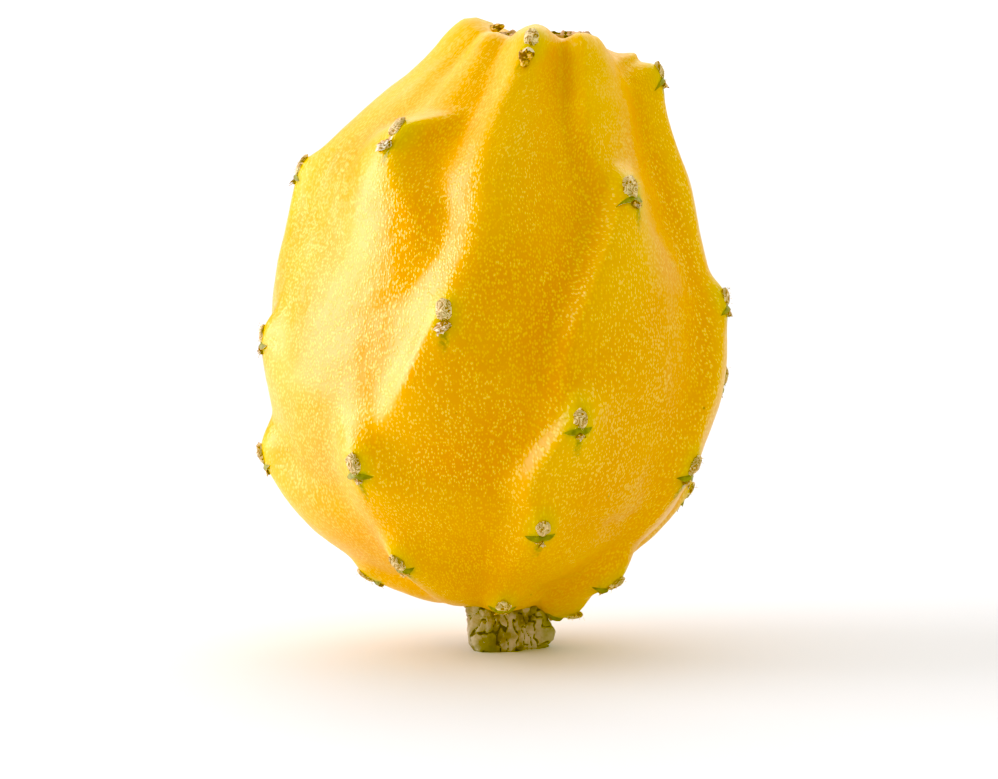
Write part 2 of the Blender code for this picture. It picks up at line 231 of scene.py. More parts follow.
# Scraps: half sizes, place, crumple, and how their torn paleness falls from the foot to the top
SCRAP_HALF = Vector((1.0, 0.6, 0.45)) * MM
SCRAP_BELOW = 2.45 * MM
SCRAP_OUT = 0.1 * MM
SCRAP_UNDERSIDE = 0.5 * MM
SCRAP_SEGMENTS = 32
SCRAP_RINGS = 22
SCRAP_DEPTH = 0.45
SCRAP_GRAIN = 2.6
SCRAP_SEED = 40.5
SCRAP_DRAWS = 300
SCRAP_SWING = 0.4
TORN_AT_FOOT = 0.8
TORN_FALL = 1.2

# The usual scraps: size, millimetres aside and how dark. The odd ones are number to (size, how long for
# its size, millimetres aside, millimetres down, how dark, how far it narrows downwards).
USUAL_SCRAP = (0.75, 1.05)
USUAL_ASIDE = (-0.3, 0.3)
USUAL_DARK = (0.1, 0.6)
SCRAPS = {
    -2: (0.95, 2.6, 4.6, -3.55, 0.9, 0.0), 0: (1.15, 2.8, 0.1, 0.6, 1.0, 0.45),
    3: (1.6, 1.0, -0.9, 0.3, 0.0, 0.0), 5: (1.05, 1.0, -0.4, 0.0, 0.5, 0.0),
    8: (1.45, 1.0, 0.0, -0.1, 0.1, 0.0), 13: (0.75, 1.0, 0.1, 0.0, 0.3, 0.0),
}

# Torn flakes on a scrap: how many, where their roots lie, which way they turn, and their length, half
# width and curl, in millimetres for a scrap of size 1
FLAKE_COUNT = (3, 5)
FLAKE_ASIDE = (-0.7, 0.7)
FLAKE_UP = (-0.3, 0.2)
FLAKE_OUT = (0.15, 0.4)
FLAKE_TURN = (-1.3, 1.3)
FLAKE_LENGTH = (0.5, 1.1)
FLAKE_WIDTH = (0.16, 0.34)
FLAKE_CURL = (0.1, 0.5)

# A flake's shape: how it bends down and curls up, tapers and thins, how ragged its sides are, and how
# pale it is at its root
FLAKE_STATIONS = 6
FLAKE_THICKNESS = 0.05 * MM
FLAKE_BEND = 1.2
FLAKE_CURL_POWER = 1.5
FLAKE_DIP = 0.1
FLAKE_TAPER = 0.55
FLAKE_THINNING = 0.5
FLAKE_RAGGED = 0.35
FLAKE_RAGS = 6
FLAKE_ROOT_GRAIN = 0.25 * MM
FLAKE_PALE_ROOT = 0.4

# Woolly hairs: where they root, as shares of the cushion's half size, how they lean, their millimetres
# of length and of radius, and how they taper and bend
HAIRS_PER_AREOLE = 9
HAIR_DRAWS = 400
HAIR_ROOTS = (0.6, 0.95)
HAIR_SUNK = 0.8
HAIR_SPREAD = 0.6
HAIR_DROOP = 0.3
HAIR_RISE = (0.2, 0.8)
HAIR_LENGTH = (0.3, 0.7)
HAIR_RADIUS = (0.03, 0.05)
HAIR_SIDES = 3
HAIR_TAPER = 0.6
HAIR_BEND = 0.25
HAIR_BEND_HALFWAY = 0.3

# Stem stub: the outline of its cork as (radius, height) in millimetres, from the cut end up
STUB_OUTLINE = [(5.7, 0.0), (6.5, 1.1), (6.3, 3.2), (5.6, 5.6), (6.0, 8.2), (6.2, 11.4)]
STUB_SIDES = 180
STUB_LEVELS = 70

# Its ribs and knots, which turn as they rise, and the grain and cracks of its cork
STUB_RIBS = 3
STUB_RIB_SHARE = 0.17
STUB_KNOTS = 5
STUB_KNOT_SHARE = 0.06
STUB_KNOT_TURN = 1.1
STUB_TWIST = math.radians(22)
STUB_TWIST_HEIGHT = 8.0 * MM
CORK_HEIGHT = 9.0 * MM
CORK_RELIEF = 0.75 * MM
CORK_GRAIN = 2.4
CORK_OCTAVES = 5
CORK_FADING = 0.9
CORK_SEED = Vector((4, 1, 7))
CORK_CRACK_DEPTH = 0.4 * MM
CORK_CRACK_GRAIN = 3.4
CORK_CRACK_NARROWNESS = 7.0
CORK_CRACK_SEED = Vector((9, 2, 5))

# Flower scar: its outline from the middle of the dish over the rim to the underside, as (radius, height)
SCAR_OUTLINE = np.array([
    (0.0, 97.3), (1.0, 97.2), (1.7, 96.5), (4.4, 96.4), (6.2, 97.1), (6.9, 97.9), (7.5, 97.8),
    (7.7, 96.8), (7.4, 95.4), (0.0, 95.4),
]) * MM
SCAR_CENTRE = AXIS_AT_STEM + AXIS_LEAN
SCAR_SIDES = 200
SCAR_LEVELS = 90

# Its torn cork, on the top alone, with radial cracks
SCAR_TOP = (96.0 * MM, 96.4 * MM)
SCAR_RELIEF = 0.30 * MM
SCAR_GRAIN = 0.9
SCAR_OCTAVES = 3
SCAR_CRACK_DEPTH = 0.30 * MM
SCAR_CRACK_NARROWNESS = 4.0
SCAR_SPOKES = 6
SCAR_SPOKE_LENGTH = 5.0 * MM
SCAR_WAVER = 0.015
SCAR_WAVER_GRAIN = 0.6

# Colours, in linear light
SKIN_DEEP = (0.87, 0.335, 0.035, 1)
SKIN_LIGHT = (0.89, 0.39, 0.035, 1)
# Painted shade in the valleys and painted light on the crests
SKIN_VALLEY_SHADE = (0.86, 0.285, 0.025, 1)
SKIN_CREST_LIGHT = (0.90, 0.50, 0.045, 1)
SKIN_SPECK = (1.0, 0.62, 0.15, 1)
SKIN_HALO = (0.60, 0.50, 0.03, 1)
SKIN_GREEN = (0.30, 0.31, 0.06, 1)
SKIN_STREAK = (0.17, 0.16, 0.05, 1)
SKIN_PORE = (0.16, 0.09, 0.02, 1)
WOOL_DULL = (1.0, 0.70, 0.38, 1)
WOOL_PALE = (1.0, 0.88, 0.58, 1)
WOOL_WORN = (0.66, 0.44, 0.28, 1)
WOOL_GAP = (0.44, 0.17, 0.08, 1)
# Painted shade in the cushions' folds and round their foot
WOOL_CREVICE_SHADE = (0.32, 0.17, 0.10, 1)
SCALE_DARK = (0.19, 0.18, 0.09, 1)
SCALE_GREEN = (0.36, 0.34, 0.10, 1)
SCALE_BROWN = (0.26, 0.13, 0.07, 1)
SCALE_PALE = (0.88, 0.70, 0.48, 1)
SCRAP_BROWN = (0.24, 0.07, 0.04, 1)
SCRAP_TAN = (0.62, 0.32, 0.18, 1)
SCRAP_TORN = (1.0, 0.90, 0.70, 1)
SCRAP_STREAK = (0.20, 0.06, 0.06, 1)
SCRAP_GOLD = (1.0, 0.56, 0.18, 1)
CORK_DARK = (0.24, 0.165, 0.18, 1)
CORK_LIGHT = (0.72, 0.57, 0.53, 1)
CORK_GREEN = (0.36, 0.33, 0.20, 1)
CORK_CRACK = (0.10, 0.07, 0.07, 1)
CORK_FLECK = (0.60, 0.52, 0.48, 1)
SCAR_DARK = (0.44, 0.23, 0.16, 1)
SCAR_LIGHT = (0.74, 0.47, 0.32, 1)
SCAR_CRACK = (0.09, 0.045, 0.02, 1)
FLOOR_DARK = (0.79, 0.79, 0.80, 1)
FLOOR_LIGHT = (0.81, 0.81, 0.82, 1)

# Finishes: the skin's roughness is a ramp of its broadest noise
SKIN_ROUGHNESS = (0.2, 0.8, 0.31, 0.38)
SKIN_FINISH = {
    "Subsurface_Weight": 0.15, "Subsurface_Scale": 0.002, "Subsurface_Radius": (1.0, 0.5, 0.05),
    "Specular_IOR_Level": 0.85, "Specular_Tint": (0.68, 1.0, 0.78, 1),
}
WOOL_ROUGHNESS = 0.9
WOOL_FINISH = {"Subsurface_Weight": 0.1, "Subsurface_Scale": 0.001}
SCALE_ROUGHNESS = 0.5
SCALE_FINISH = {"Subsurface_Weight": 0.1, "Subsurface_Scale": 0.002}
SCRAP_ROUGHNESS = 0.85
STEM_ROUGHNESS = 0.85
SCAR_ROUGHNESS = 0.9

# Noises, as (features to the metre, detail). Patches go on with the range of the noise that they
# stretch out, and with what they stretch it to if that is not 0 to 1.
BROAD = (60.0, 3.0)
PATCHY = (200.0, 2.0, 0.3, 0.6, 0.6, 0.95)
WANDERING = (300.0, 2.0)
BARKY = (330.0, 4.0, 0.35, 0.65)
UNDULATING = (420.0, 3.0)
CORKY = (500.0, 4.0, 0.3, 0.7)
FLOCKED = (900.0, 2.0)
MOTTLED = (900.0, 3.0)
SPECK_SIZES = (1100.0, 1.0, 0.25, 0.75, 0.44, 0.72)
MEALY = (1200.0, 3.0)
SHRIVELLED = (1300.0, 3.0, 0.35, 0.6)
FLECKED = (1500.0, 2.0, 0.62, 0.72, 0.0, 0.7)
STREAKY = (1700.0, 2.0, 0.42, 0.56)
FRAYED = (1700.0, 2.0, 0.3, 0.5, 0.55, 1.0)
DUSTY = (1900.0, 2.0, 0.35, 0.6, 0.4, 1.0)
GRITTY = (2200.0, 4.0)
POROUS = (2600.0, 3.0)
FIBROUS = (4000.0, 2.0)
FELTED = {"Scale": 560.0, "Detail": 1.0, "Roughness": 0.4, "Distortion": 0.8}

# Ramps, as the values between which they rise or fall, and what they rise to if that is not 1
EVEN_MOTTLE = (0.3, 0.7)
BROWN_EDGE = (0.15, 0.45)
PALE_EDGE = (0.5, 0.85)
TORN_PALE = (0.4, 0.8)
IN_CRACK = (0.3, 0.8)
WOOL_SHADE = (0.55, 1.0, 0.0, 0.7)
WOOL_GAPS = (0.40, 0.12)
GREEN_RIBS = (0.6, 0.98, 0.0, 0.5)

# How strongly the materials' layers cover what is under them
VALLEY_SHADE_SHARE = 0.8
CREST_LIGHT_SHARE = 0.6
HALO_SHARE = 0.5
GREEN_SHARE = 0.7
STREAK_SHARE = 0.7
PORE_COVER = 0.6
WORN_SHARE = 0.8
GAP_SHARE = 0.85
GOLD_SHARE = 0.9

# The skin round an areole, in millimetres to the right and down: two ovals by their middles, half sizes
# and fading edges, and the streak below by where it fades at its sides, starts and ends
HALO_MIDDLE = (0.0, 0.6)
HALO_HALF = (3.2, 4.6)
HALO_FADE = (1.15, 0.25)
GREEN_MIDDLE = (0.2, 1.9)
GREEN_HALF = (2.6, 1.2)
GREEN_FADE = (1.5, 0.8)
STREAK_SIDES = (0.95, 0.1)
STREAK_START = (2.2, 3.0)
STREAK_END = (8.8, 5.0)
STREAK_WANDER = 1.6
STREAK_FRAYS = 4.0
EDGE_FRAYS = 0.9

# Speckles and pores: cells to the metre, how a speckle is drawn out, how scattered they are, where a
# speckle ends, which share of the cells has a pore, and where it ends
SPECKS = 2550.0
SPECK_STRETCH = (1, 1, 0.66)
SPECK_SCATTER = 0.8
SPECK_EDGE = (0.3, 1.0)
PORES = 260.0
PORE_SHARE = 0.10
PORE_SIZE = (0.075, 0.03)

# The smaller pieces: how many worms of felt the wool's noise makes, and how streaks are drawn out on a
# scrap
WOOL_WORMS = 15.0
SCRAP_STRETCH = (1, 1, 0.45)

# Bumps, as (depth, strength)
SPECK_BUMP = (0.09 * MM, 0.45)
SKIN_BUMP = (0.25 * MM, 0.2)
WOOL_BUMP = (0.14 * MM, 0.8)
SCALE_BUMP = (0.1 * MM, 0.5)
SCRAP_BUMP = (0.08 * MM, 0.8)
CORK_BUMP = (0.25 * MM, 0.8)
SCAR_BUMP = (0.2 * MM, 0.8)

# The sockets of a node that mixes colours, and its result
MIX_SOCKETS = (0, 6, 7)
MIX_RESULT = 2

# Camera: the photograph's place and angle of view
CAMERA_PLACE = (-0.00103, -0.700, 0.122)
CAMERA_PITCH = math.radians(6.577)
LENS_MM = 160.0
SENSOR_MM = 36.0
NEAREST = 0.01
FURTHEST = 50.0

# Light: the tall soft panel at the left, the panel over the backdrop, and the studio as (direction,
# cosines from dark to full, strength)
PANEL_PLACE = (-0.56, 0.02, 0.22)
PANEL_AIM = (0.0, 0.0, 0.05)
PANEL_WIDTH = 0.44
PANEL_HEIGHT = 0.50
PANEL_WATTS = 3.9
PANEL_COLOUR = (1.0, 0.985, 0.95)
BACK_PLACE = (0.0, 3.0, 2.0)
BACK_AIM = (0.0, 3.0, 0.0)
BACK_SIZE = 4.0
BACK_WATTS = 60.0
BACK_COLOUR = (1.0, 1.0, 1.0)
STUDIO_COLOUR = (1.0, 0.995, 0.985, 1)
STUDIO_LIGHT = [
    ((0.0, 0.5, 1.0), -0.1, 1.0, 0.40),
    ((0.0, -0.5, 1.0), -0.1, 1.0, 0.50),
    ((0.85, 0.5, 0.15), -0.1, 0.7, 0.65),
    ((-0.9, 0.2, 0.2), 0.0, 1.0, 0.15),
]
BLUE_TOE = 0.115

# Floor
FLOOR_HALF = 8.0
FLOOR_CELLS = 8
FLOOR_GRAIN = (3.0, 2.0)
FLOOR_ROUGHNESS = 0.75
FLOOR_SPECULAR = 0.2


def outline_spline(points, count):
    """Points evenly spaced along a Catmull-Rom curve through an outline, and their arc lengths."""
    ends = [2 * points[0] - points[1], *points, 2 * points[-1] - points[-2]]
    steps = np.linspace(0, 1, SPLINE_STEPS, endpoint=False)[:, None]
    dense = []
    for a, b, c, d in zip(ends, ends[1:], ends[2:], ends[3:]):
        dense.append(0.5 * (2 * b + (c - a) * steps + (2 * a - 5 * b + 4 * c - d) * steps**2
                            + (3 * b - a - 3 * c + d) * steps**3))
    dense = np.vstack([*dense, points[-1:]])
    dense[:, 0] = np.maximum(dense[:, 0], 0.0)
    arcs = np.concatenate([[0], np.cumsum(np.linalg.norm(np.diff(dense, axis=0), axis=1))])
    even = np.linspace(0, arcs[-1], count)
    return np.stack([np.interp(even, arcs, dense[:, 0]), np.interp(even, arcs, dense[:, 1])], 1), even


MERIDIAN, ARCS = outline_spline(BODY_OUTLINE, MERIDIAN_POINTS)
TANGENTS = np.gradient(MERIDIAN, ARCS, axis=0)
TANGENTS /= np.linalg.norm(TANGENTS, axis=1)[:, None]


def smooth(t):
    """A smooth step from 0 to 1."""
    t = np.clip(t, 0, 1)
    return t * t * (3 - 2 * t)


def rise(value, start, end):
    """A smooth step from 0 at one value to 1 at another."""
    return smooth((value - start) / (end - start))


def radius_at(arc):
    """Radius of the outline at an arc length."""
    return np.interp(arc, ARCS, MERIDIAN[:, 0])


def height_at(arc):
    """Height of the outline at an arc length."""
    return np.interp(arc, ARCS, MERIDIAN[:, 1])


def turned_from(azimuth, start):
    """Angles from one azimuth to others, from minus to plus half a turn."""
    return np.mod(azimuth - start + math.pi, math.tau) - math.pi


def arc_at_height(height):
    """Arc length along the meridian at which it reaches a height, below the flower scar's rim."""
    rising = MERIDIAN[:, 1].argmax() + 1
    return float(np.interp(height, MERIDIAN[:rising, 1], ARCS[:rising]))


def areole_places():
    """{number: (azimuth, arc length)} of every areole, from the spiral and the departures from it."""
    places = {}
    for number in range(-RIM_AREOLES, LAST_AREOLE + 1):
        share = max(0.0, 1 - max(number, 0) / SPIRAL_COUNT)
        height = LOWEST_HEIGHT + (HIGHEST_HEIGHT - LOWEST_HEIGHT) * share**SPIRAL_POWER
        if number < 0:
            height = RIM_HEIGHT
        turn, up, _ = DEPARTURES.get(number, (0, 0, 0))
        azimuth = FIRST_AZIMUTH - number * DIVERGENCE + math.radians(turn)
        azimuth = math.remainder(azimuth, math.tau)
        places[number] = (azimuth, arc_at_height(height + up * MM))
    return places


AREOLES = areole_places()
WOOLLY = [number for number in AREOLES if number not in BARE_RIDGES]


def ridge_relief(number):
    """How far an areole's ridge stands out of the valleys."""
    height = float(height_at(AREOLES[number][1]))
    upper = rise(height, *TOP_RISE)
    lower = rise(height, *BOTTOM_RISE)
    ridge = RELIEF_MIDDLE + (RELIEF_TOP - RELIEF_MIDDLE) * upper + (RELIEF_BOTTOM - RELIEF_MIDDLE) * lower
    if number < 0:
        ridge = RELIEF_RIM
    return ridge + DEPARTURES.get(number, (0, 0, 0))[2] * MM


def local_place(number, azimuth, arc, stand=0.0):
    """Where points of the skin lie seen from an areole: across its rib and below it, in metres."""
    own_azimuth, own_arc = AREOLES[number]
    radius = radius_at(arc) + stand
    across = radius * turned_from(azimuth, own_azimuth)
    return across, own_arc - arc


def clear_of_ends(radius):
    """A factor that fades relief out near both ends of the body."""
    return rise(radius, *RIBBED)


def relief(azimuth, arc):
    """Relief at points of the body: a smooth union of one leaning ridge per areole, and its nub."""
    radius = radius_at(arc)
    ridges = np.zeros_like(azimuth)
    nubs = np.zeros_like(azimuth)
    for number, (own_azimuth, own_arc) in AREOLES.items():
        next_azimuth, next_arc = AREOLES.get(number + RIBS, (own_azimuth, 0.0))
        length = max(own_arc - next_arc, SHORTEST_RIDGE)
        drift = math.remainder(next_azimuth - own_azimuth, math.tau)
        below = (own_arc - arc) / length
        reach = np.clip(below, 0, 1)
        bow, left_share, right_share, haste, beside = BENDS.get(number, PLAIN_RIB)
        bowed = math.radians(beside) + math.radians(bow) * np.sin(math.pi * reach**BOW_POWER)
        crest = own_azimuth + drift * np.clip(below, -HEAD, 1) + bowed
        across = radius * turned_from(azimuth, crest)
        left = left_share * (LEFT_TIP_WIDTH + (LEFT_FOOT_WIDTH - LEFT_TIP_WIDTH) * reach)
        right = right_share * (RIGHT_TIP_WIDTH + (RIGHT_FOOT_WIDTH - RIGHT_TIP_WIDTH) * smooth(2 * reach))
        side = np.hypot(across / np.where(across < 0, left, right), CREST_ROUNDING) - CREST_ROUNDING
        fade = haste * (RIM_FADE if number <= 0 else FADE)
        step_above = RIM_STEP_ABOVE if number < 0 else STEP_ABOVE
        down = np.exp(-np.abs(fade * below)**FADE_POWER) * smooth((TAIL_ENDS - below) / TAIL)
        along = np.where(below > 0, down, np.exp(-((arc - own_arc) / step_above)**2))
        height = ridge_relief(number) * along * np.exp(-side**CROSS_POWER)
        ridges += np.exp(height / RIDGE_BLEND) - 1
        if number not in BARE_RIDGES:
            aside = radius * turned_from(azimuth, own_azimuth)
            nubs += np.exp(-np.hypot(aside / NUB_WIDTH, (arc - own_arc) / NUB_LENGTH)**NUB_POWER)
    return (RIDGE_BLEND * np.log1p(ridges) + NUB_RELIEF * nubs) * clear_of_ends(radius)


def fractal(point, octaves=2, fading=1.0):
    """Noise from about -1 to 1 at a point, each octave twice as fine as the last."""
    return noise.fractal(point, fading, 2.0, octaves)


def noise_at(points, size, seed):
    """Noise of two octaves at points."""
    shift = SEED_WAY * seed
    return np.array([fractal(Vector(p) / size + shift) for p in points])


def on_ring(azimuth, ring, height):
    """Points on an upright ring of one radius, or of many."""
    return np.stack([ring * np.sin(azimuth), -ring * np.cos(azimuth), height], -1)


def fine_relief(azimuth, arc):
    """Lumps, dimples and lengthwise wrinkles of the skin, below the size of a tubercle."""
    radius = radius_at(arc)
    height = height_at(arc)
    round_points = on_ring(azimuth, radius, height)
    lumps = LUMP_RELIEF * noise_at(round_points, LUMP_SIZE, LUMP_SEED)
    dimples = DIMPLE_RELIEF * noise_at(round_points, DIMPLE_SIZE, DIMPLE_SEED)
    drawn = on_ring(azimuth, WRINKLE_RING, arc * WRINKLE_STRETCH)
    wrinkles = WRINKLE_RELIEF * noise_at(drawn, WRINKLE_SIZE, WRINKLE_SEED)
    shoulder = rise(height, *WRINKLED)
    return (lumps + dimples + wrinkles * shoulder) * clear_of_ends(radius)


def lay_on_body(azimuth, arc, stand):
    """Points at a relief above the body of revolution, about its leaning centre line."""
    radius = radius_at(arc) + stand * np.interp(arc, ARCS, TANGENTS[:, 1])
    height = height_at(arc)
    centre = AXIS_AT_STEM + AXIS_LEAN * rise(height, *LEANING)
    height = height - stand * np.interp(arc, ARCS, TANGENTS[:, 0])
    return np.stack([centre + radius * np.sin(azimuth), -radius * np.cos(azimuth), height], -1)


def skin_points(azimuth, arc):
    """Points on the finished skin, for arrays of azimuth and arc length."""
    azimuth = np.atleast_1d(np.asarray(azimuth, float))
    arc = np.atleast_1d(np.asarray(arc, float))
    return lay_on_body(azimuth, arc, relief(azimuth, arc) + fine_relief(azimuth, arc))


def skin_frame(azimuth, arc):
    """Matrix of a place on the skin: X to the right, Y up along the rib, Z out of the skin."""
    turn = FRAME_STEP / max(float(radius_at(arc)), FRAME_LEAST_RADIUS)
    turns = azimuth + turn * np.array([0, 1, -1, 0, 0])
    arcs = arc + FRAME_STEP * np.array([0, 0, 0, 1, -FRAME_STEPS_DOWN])
    place, right, left, above, under = (Vector(p) for p in skin_points(turns, arcs))
    across, along = right - left, above - under
    normal = across.cross(along).normalized()
    along = normal.cross(across).normalized()
    side = along.cross(normal)
    return Matrix.Translation(place) @ Matrix((side, along, normal)).transposed().to_4x4()


def on_skin(number, across, below, out):
    """Points laid on the skin round an areole: metres across its rib, below it and out of the skin."""
    own_azimuth, own_arc = AREOLES[number]
    spread = np.broadcast_arrays(across, below, out)
    across, below, out = (np.atleast_1d(np.asarray(values, float)) for values in spread)
    arc = np.maximum(own_arc - below, LOWEST_ARC)
    around = radius_at(arc) + ridge_relief(number)
    azimuth = own_azimuth + across / around
    turn = NORMAL_STEP / around
    right = skin_points(azimuth + turn, arc) - skin_points(azimuth - turn, arc)
    up = skin_points(azimuth, arc + NORMAL_STEP) - skin_points(azimuth, arc - NORMAL_STEP)
    normal = np.cross(right, up)
    normal /= np.linalg.norm(normal, axis=1)[:, None]
    return skin_points(azimuth, arc) + normal * out[:, None]


def frame_near(number, aside, up=0.0):
    """Matrix of a place on the skin near an areole, so many millimetres to its right and above it."""
    azimuth, arc = AREOLES[number]
    around = float(radius_at(arc)) + ridge_relief(number)
    return skin_frame(azimuth + aside * MM / around, arc + up * MM)


def areole_frame(number):
    """Matrix of an areole's cushion."""
    return frame_near(number, *SHIFTED.get(number, (0, 0)))


def add_object(name, data):
    """An object in the scene."""
    made = bpy.data.objects.new(name, data)
    bpy.context.scene.collection.objects.link(made)
    return made


def add_mesh(name, bm, surface):
    """An object in the scene from a bmesh and a material."""
    mesh = bpy.data.meshes.new(name)
    bm.to_mesh(mesh)
    bm.free()
    mesh.materials.append(surface)
    return add_object(name, mesh)


def new_piece(name, bm, surface, replaced=()):
    """A smooth piece of the object, its faces turned outwards, riding on the root body."""
    bmesh.ops.recalc_face_normals(bm, faces=bm.faces[:])
    piece = add_mesh(name, bm, surface)
    piece.data.shade_smooth()
    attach(piece, "root")
    if replaced:
        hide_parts(*replaced)
    return piece


def store(mesh, name, values):
    """A number, or a vector, at every vertex, for the materials."""
    values = np.ascontiguousarray(values, np.float32)
    kind, key = ("FLOAT", "value") if values.ndim == 1 else ("FLOAT_VECTOR", "vector")
    layer = mesh.attributes.new(name, kind, "POINT")
    layer.data.foreach_set(key, values.ravel())


class Nodes:
    """The node tree of a new material or world, with short calls to add and link nodes."""

    def __init__(self, name, family="materials"):
        self.made = getattr(bpy.data, family).new(name)
        self.made.use_nodes = True
        self.tree = self.made.node_tree
        self.coordinates = self.node("ShaderNodeTexCoord").outputs
        self.place = self.coordinates["Object"]

    def node(self, kind, inputs=None, **settings):
        """A node with its settings, and values or links for its inputs."""
        made = self.tree.nodes.new(kind)
        for key, value in settings.items():
            setattr(made, key, value)
        for key, value in (inputs or {}).items():
            self.feed(made.inputs[key], value)
        return made

    def feed(self, socket, value):
        """Sets a socket, or links it if the value is another socket."""
        if isinstance(value, bpy.types.NodeSocket):
            self.tree.links.new(value, socket)
        else:
            socket.default_value = value

    def value(self, name):
        """A number stored on the mesh."""
        return self.node("ShaderNodeAttribute", attribute_name=name).outputs["Fac"]

    def vector(self, name):
        """A vector stored on the mesh."""
        return self.node("ShaderNodeAttribute", attribute_name=name).outputs["Vector"]

    def math(self, operation, *values):
        """A Math node of one to three values."""
        made = self.node("ShaderNodeMath", operation=operation)
        for socket, value in zip(made.inputs, values):
            self.feed(socket, value)
        return made.outputs[0]

    def scaled(self, vector, scale):
        """A vector multiplied part by part."""
        made = self.node("ShaderNodeVectorMath", operation="MULTIPLY")
        self.feed(made.inputs[0], vector)
        self.feed(made.inputs[1], scale)
        return made.outputs[0]

    def oval(self, local, middle, half):
        """How far a place lies from an oval's middle, in half sizes of the oval."""
        parts = [self.math("DIVIDE", self.math("SUBTRACT", local[axis], centre), reach)
                 for axis, centre, reach in zip("XY", middle, half)]
        squares = [self.math("POWER", part, 2.0) for part in parts]
        return self.math("SQRT", self.math("ADD", *squares))

    def times(self, *factors):
        """The product of values."""
        product = factors[0]
        for factor in factors[1:]:
            product = self.math("MULTIPLY", product, factor)
        return product

    def noise(self, scale, detail, vector=None):
        """Noise from 0 to 1, over the object's own coordinates or others."""
        inputs = {"Vector": vector or self.place, "Scale": scale, "Detail": detail}
        return self.node("ShaderNodeTexNoise", inputs).outputs["Fac"]

    def ramp(self, value, low, high, to_low=0.0, to_high=1.0):
        """A value taken smoothly from one range to another."""
        inputs = {"Value": value, "From Min": low, "From Max": high, "To Min": to_low, "To Max": to_high}
        made = self.node("ShaderNodeMapRange", inputs, interpolation_type="SMOOTHSTEP")
        return made.outputs["Result"]

    def patches(self, scale, detail, *limits, vector=None):
        """Noise stretched out into patches."""
        return self.ramp(self.noise(scale, detail, vector), *limits)

    def mix(self, share, a, b):
        """Two colours mixed."""
        made = self.node("ShaderNodeMix", data_type="RGBA")
        for index, value in zip(MIX_SOCKETS, (share, a, b)):
            self.feed(made.inputs[index], value)
        return made.outputs[MIX_RESULT]

    def bump(self, height, distance, strength, below=None):
        """A bump of a height in metres times a distance."""
        inputs = {"Height": height, "Distance": distance, "Strength": strength}
        if below is not None:
            inputs["Normal"] = below
        return self.node("ShaderNodeBump", inputs).outputs["Normal"]

    def finish(self, colour, roughness, normal=None, **settings):
        """Feeds the material's shader, and returns the material."""
        inputs = self.tree.nodes["Principled BSDF"].inputs
        self.feed(inputs["Base Color"], colour)
        self.feed(inputs["Roughness"], roughness)
        if normal is not None:
            self.feed(inputs["Normal"], normal)
        for key, value in settings.items():
            inputs[key.replace("_", " ")].default_value = value
        return self.made


def speckles(n):
    """Small pale speckles, one to a cell and a little longer than wide, from 0 to 1."""
    drawn = n.scaled(n.vector("ring_place"), SPECK_STRETCH)
    inputs = {"Vector": drawn, "Scale": SPECKS, "Randomness": SPECK_SCATTER}
    away = n.node("ShaderNodeTexVoronoi", inputs, feature="F1").outputs["Distance"]
    reach = n.math("DIVIDE", away, n.patches(*SPECK_SIZES))
    return n.math("SUBTRACT", 1.0, n.ramp(reach, *SPECK_EDGE))


def pores(n):
    """A few scattered dark pores, from 0 to 1."""
    cells = n.node("ShaderNodeTexVoronoi", {"Vector": n.place, "Scale": PORES}, feature="F1")
    draw = n.node("ShaderNodeSeparateColor", {"Color": cells.outputs["Color"]}).outputs["Red"]
    return n.times(n.math("LESS_THAN", draw, PORE_SHARE), n.ramp(cells.outputs["Distance"], *PORE_SIZE))


def areole_marks(n, colour):
    """The skin's colour with a pale green halo, a green patch and a brown streak round each areole."""
    local = n.node("ShaderNodeSeparateXYZ", {"Vector": n.vector("areole_place")}).outputs
    near = n.value("near")
    edge = n.times(n.noise(*MOTTLED), EDGE_FRAYS)
    halo = n.ramp(n.oval(local, HALO_MIDDLE, HALO_HALF), *HALO_FADE)
    colour = n.mix(n.times(halo, near, HALO_SHARE), colour, SKIN_HALO)
    green = n.ramp(n.math("ADD", n.oval(local, GREEN_MIDDLE, GREEN_HALF), edge), *GREEN_FADE)
    colour = n.mix(n.times(green, n.value("leafy"), GREEN_SHARE), colour, SKIN_GREEN)
    wander = n.math("MULTIPLY_ADD", n.noise(*WANDERING), STREAK_WANDER, -STREAK_WANDER / 2)
    aside = n.math("ABSOLUTE", n.math("SUBTRACT", local["X"], wander))
    frayed = n.math("ADD", local["Y"], n.times(edge, STREAK_FRAYS))
    streak = n.times(n.ramp(aside, *STREAK_SIDES), n.ramp(local["Y"], *STREAK_START),
                     n.ramp(frayed, *STREAK_END), n.patches(*DUSTY))
    return n.mix(n.times(streak, near, STREAK_SHARE), colour, SKIN_STREAK)


def skin_material():
    """Waxy golden skin: dense pale speckles, painted shade in the valleys and painted light on the crests,
    and green and brown round the areoles.
    """
    n = Nodes("yellow_skin")
    broad = n.noise(*BROAD)
    colour = n.mix(n.ramp(broad, *EVEN_MOTTLE), SKIN_DEEP, SKIN_LIGHT)
    # Painted shade: the valleys between the ribs are coloured a darker orange
    colour = n.mix(n.times(n.value("valley"), VALLEY_SHADE_SHARE), colour, SKIN_VALLEY_SHADE)
    # Painted light: the crests of the ribs are coloured paler
    colour = n.mix(n.times(n.value("crest"), CREST_LIGHT_SHARE), colour, SKIN_CREST_LIGHT)
    speck = speckles(n)
    colour = n.mix(n.times(speck, n.patches(*PATCHY)), colour, SKIN_SPECK)
    colour = areole_marks(n, colour)
    colour = n.mix(n.times(pores(n), PORE_COVER), colour, SKIN_PORE)
    normal = n.bump(n.noise(*UNDULATING), *SKIN_BUMP, n.bump(speck, *SPECK_BUMP))
    return n.finish(colour, n.ramp(broad, *SKIN_ROUGHNESS), normal, **SKIN_FINISH)


